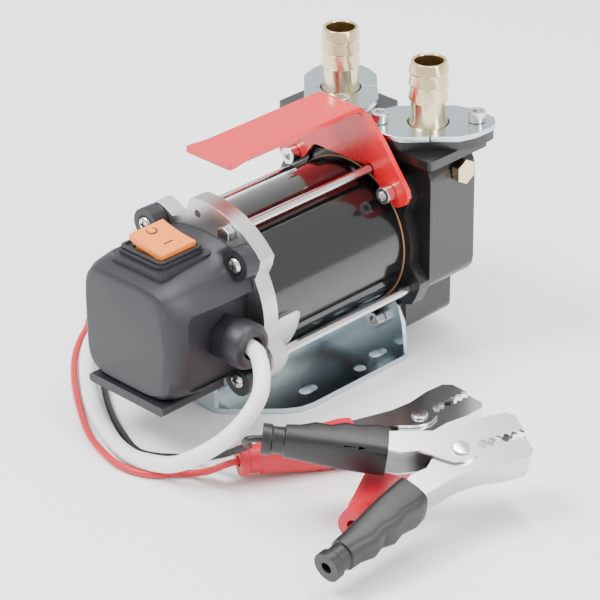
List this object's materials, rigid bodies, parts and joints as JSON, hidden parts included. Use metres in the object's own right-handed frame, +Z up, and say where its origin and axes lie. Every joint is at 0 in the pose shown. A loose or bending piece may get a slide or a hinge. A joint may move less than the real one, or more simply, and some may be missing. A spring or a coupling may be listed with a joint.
{
  "type": "fluid transfer pump",
  "caption": "Low-voltage fluid transfer pump with upright hose tails, carrying handle, floor bracket, rocker switch and a lead with battery clips.",
  "frame": {"origin": "underside of the floor bracket, straight below the motor axis, in the plane where the motor tube meets the pump body", "axes": "+Z up; +Y along the motor axis from the switch box to the pump; +X towards the cable gland"},
  "size_m": [0.3109, 0.2458, 0.1609],
  "materials": {
    "clip_zinc": "bright zinc-plated pressed steel",
    "red_pvc": "soft red PVC, satin",
    "black_pvc": "soft black PVC and rubber, satin",
    "white_pvc": "off-white cable sheath, satin",
    "black_paint_iron": "black paint over rough cast iron",
    "black_tube": "smooth gloss black paint",
    "cast_aluminium": "satin die casting",
    "red_paint": "gloss red powder coat",
    "slate_plastic": "fine matt grain",
    "orange_plastic": "smooth satin orange",
    "brass": "pale turned brass",
    "zinc_plate": "zinc-plated sheet with a cool tint",
    "gasket": "brown fibre gasket",
    "copper_core": "laminations and lacquered copper",
    "ferrite": "sintered ferrite",
    "steel": "bright plated steel"
  },
  "bodies": {
    "pump": {"bearing_motor_end": "steel", "bearing_pump_end": "steel", "black_clip_arm_fixed": "clip_zinc", "black_clip_grip_fixed": "black_pvc", "black_clip_rivet": "steel", "bracket_screw_left": "steel", "bracket_screw_right": "steel", "brush_holder": "black_pvc", "bypass_cap": "brass", "bypass_poppet": "brass", "bypass_spring": "steel", "cable_sheath": "white_pvc", "carry_handle": "red_paint", "end_flange": "cast_aluminium", "floor_bracket": "zinc_plate", "gland_body": "slate_plastic", "gland_nut": "slate_plastic", "handle_screw_left": "steel", "handle_screw_right": "steel", "hose_tail_left": "brass", "hose_tail_right": "brass", "magnet_left": "ferrite", "magnet_right": "ferrite", "motor_tube": "black_tube", "port_plate_left_inner": "zinc_plate", "port_plate_left_outer": "zinc_plate", "port_plate_right_inner": "zinc_plate", "port_plate_right_outer": "zinc_plate", "port_screw_left_inner": "steel", "port_screw_left_outer": "steel", "port_screw_right_inner": "steel", "port_screw_right_outer": "steel", "pump_body": "black_paint_iron", "rear_cover": "black_paint_iron", "red_clip_arm_fixed": "clip_zinc", "red_clip_grip_fixed": "red_pvc", "red_clip_rivet": "steel", "shaft_seal": "black_pvc", "switch_cover": "slate_plastic", "switch_module": "slate_plastic", "tie_bolt_1": "steel", "tie_bolt_2": "steel", "tie_bolt_3": "steel", "tie_bolt_4": "steel", "tube_gasket": "gasket", "wire_black": "black_pvc", "wire_red": "red_pvc"},
    "rocker": {"rocker": "orange_plastic"},
    "rotor": {"motor_shaft": "steel", "armature": "copper_core", "vane_rotor": "steel", "vane_1": "black_pvc", "vane_2": "black_pvc", "vane_3": "black_pvc", "vane_4": "black_pvc"},
    "red_clip_lever": {"red_clip_arm_moving": "clip_zinc", "red_clip_grip_moving": "red_pvc"},
    "black_clip_lever": {"black_clip_arm_moving": "clip_zinc", "black_clip_grip_moving": "black_pvc"}
  },
  "joints": [
    {"name": "rocker_tilt", "type": "hinge", "parent": "pump", "child": "rocker", "pos_m": [0, -0.132, 0.099], "axis": [0, 1, 0], "range_deg": [-18, 0]},
    {"name": "rotor_spin", "type": "hinge", "parent": "pump", "child": "rotor", "pos_m": [0, 0, 0.063], "axis": [0, 1, 0], "continuous": true},
    {"name": "red_clip_open", "type": "hinge", "parent": "pump", "child": "red_clip_lever", "pos_m": [0.1094, -0.0611, 0.0109], "axis": [0, 0, 1], "range_deg": [-20, 0], "stiffness_Nm_per_rad": 1.5, "springref_deg": 17.19},
    {"name": "black_clip_open", "type": "hinge", "parent": "pump", "child": "black_clip_lever", "pos_m": [0.1662, -0.0954, 0.0328], "axis": [0.2987, -0.1594, 0.941], "range_deg": [-20, 0], "stiffness_Nm_per_rad": 1.5, "springref_deg": 17.19}
  ]
}
